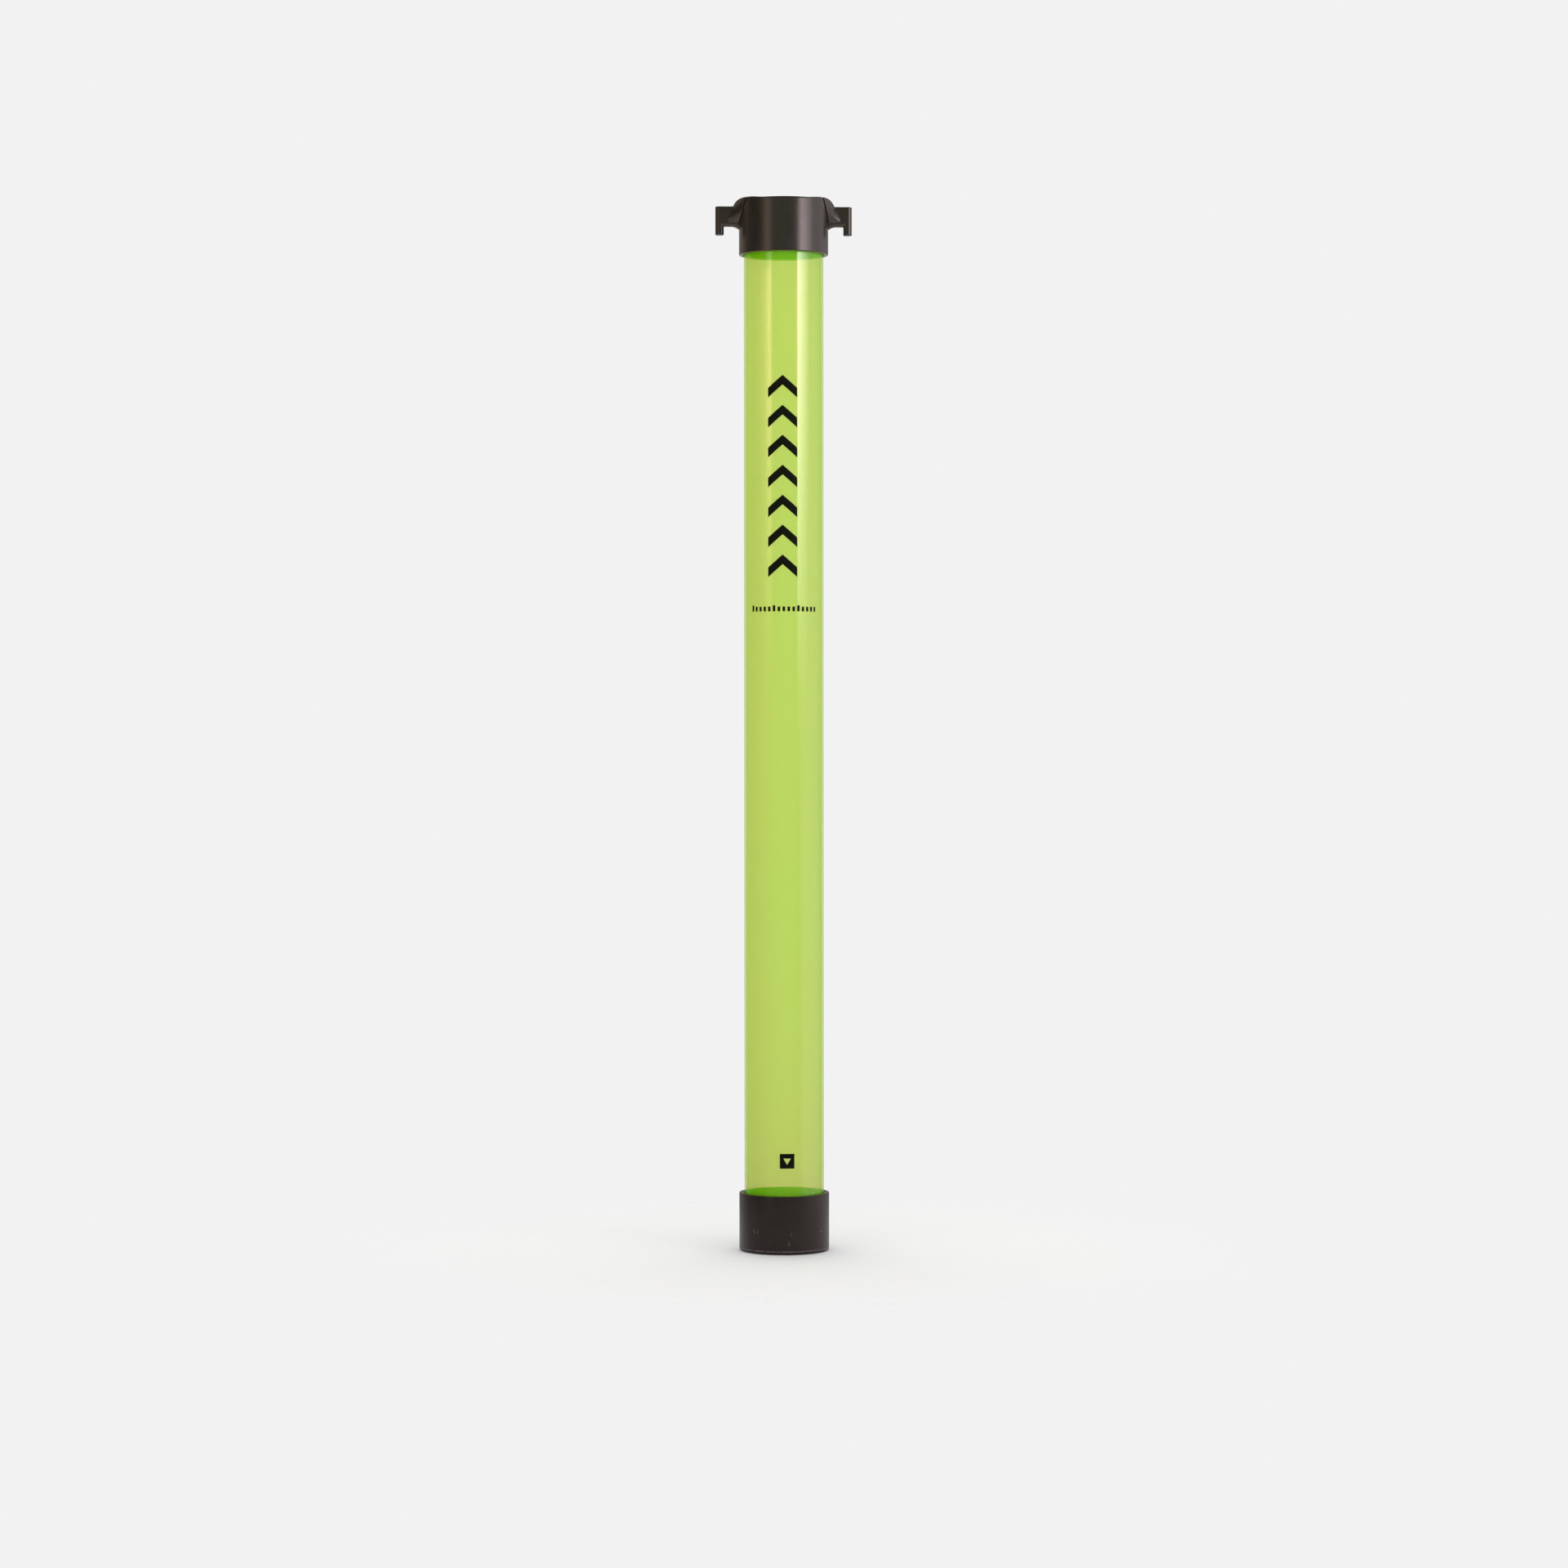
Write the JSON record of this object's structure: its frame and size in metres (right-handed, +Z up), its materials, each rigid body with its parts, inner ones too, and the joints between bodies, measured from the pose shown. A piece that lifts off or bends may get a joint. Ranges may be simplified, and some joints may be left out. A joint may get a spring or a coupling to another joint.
{
  "type": "tennis ball pickup tube",
  "caption": "Upright see-through green tube for picking up and storing tennis balls, with a black collar at each end, a springy mouth below and two side hooks at the open top.",
  "frame": {"origin": "centre of the bottom collar's underside, on the floor that the tube stands on", "axes": "+Z up along the tube; the hooks lie along +X and -X; -Y is the side that the picture shows"},
  "size_m": [0.1286, 0.0848, 0.99],
  "materials": {
    "tube_plastic": "clear tinted, glossy",
    "top_collar_plastic": "moulded, satin",
    "bottom_collar_rubber": "moulded, dull",
    "retainer_plastic": "moulded, matt"
  },
  "bodies": {
    "tube_body": {"tube": "tube_plastic", "top_collar": "top_collar_plastic", "bottom_collar": "bottom_collar_rubber", "retainer_ring": "retainer_plastic"},
    "finger_body_1": {"finger_1": "retainer_plastic"},
    "finger_body_2": {"finger_2": "retainer_plastic"},
    "finger_body_3": {"finger_3": "retainer_plastic"},
    "finger_body_4": {"finger_4": "retainer_plastic"},
    "finger_body_5": {"finger_5": "retainer_plastic"},
    "finger_body_6": {"finger_6": "retainer_plastic"},
    "finger_body_7": {"finger_7": "retainer_plastic"},
    "finger_body_8": {"finger_8": "retainer_plastic"}
  },
  "joints": [
    {"name": "finger_flex_1", "type": "hinge", "parent": "tube_body", "child": "finger_body_1", "pos_m": [0.036, 0, 0.0098], "axis": [0, 1, 0], "range_deg": [0, 17], "stiffness_Nm_per_rad": 0.08},
    {"name": "finger_flex_2", "type": "hinge", "parent": "tube_body", "child": "finger_body_2", "pos_m": [0.02546, 0.02546, 0.0098], "axis": [-0.7071, 0.7071, 0], "range_deg": [0, 17], "stiffness_Nm_per_rad": 0.08},
    {"name": "finger_flex_3", "type": "hinge", "parent": "tube_body", "child": "finger_body_3", "pos_m": [0, 0.036, 0.0098], "axis": [-1, 0, 0], "range_deg": [0, 17], "stiffness_Nm_per_rad": 0.08},
    {"name": "finger_flex_4", "type": "hinge", "parent": "tube_body", "child": "finger_body_4", "pos_m": [-0.02546, 0.02546, 0.0098], "axis": [-0.7071, -0.7071, 0], "range_deg": [0, 17], "stiffness_Nm_per_rad": 0.08},
    {"name": "finger_flex_5", "type": "hinge", "parent": "tube_body", "child": "finger_body_5", "pos_m": [-0.036, 0, 0.0098], "axis": [0, -1, 0], "range_deg": [0, 17], "stiffness_Nm_per_rad": 0.08},
    {"name": "finger_flex_6", "type": "hinge", "parent": "tube_body", "child": "finger_body_6", "pos_m": [-0.02546, -0.02546, 0.0098], "axis": [0.7071, -0.7071, 0], "range_deg": [0, 17], "stiffness_Nm_per_rad": 0.08},
    {"name": "finger_flex_7", "type": "hinge", "parent": "tube_body", "child": "finger_body_7", "pos_m": [0, -0.036, 0.0098], "axis": [1, 0, 0], "range_deg": [0, 17], "stiffness_Nm_per_rad": 0.08},
    {"name": "finger_flex_8", "type": "hinge", "parent": "tube_body", "child": "finger_body_8", "pos_m": [0.02546, -0.02546, 0.0098], "axis": [0.7071, 0.7071, 0], "range_deg": [0, 17], "stiffness_Nm_per_rad": 0.08}
  ]
}
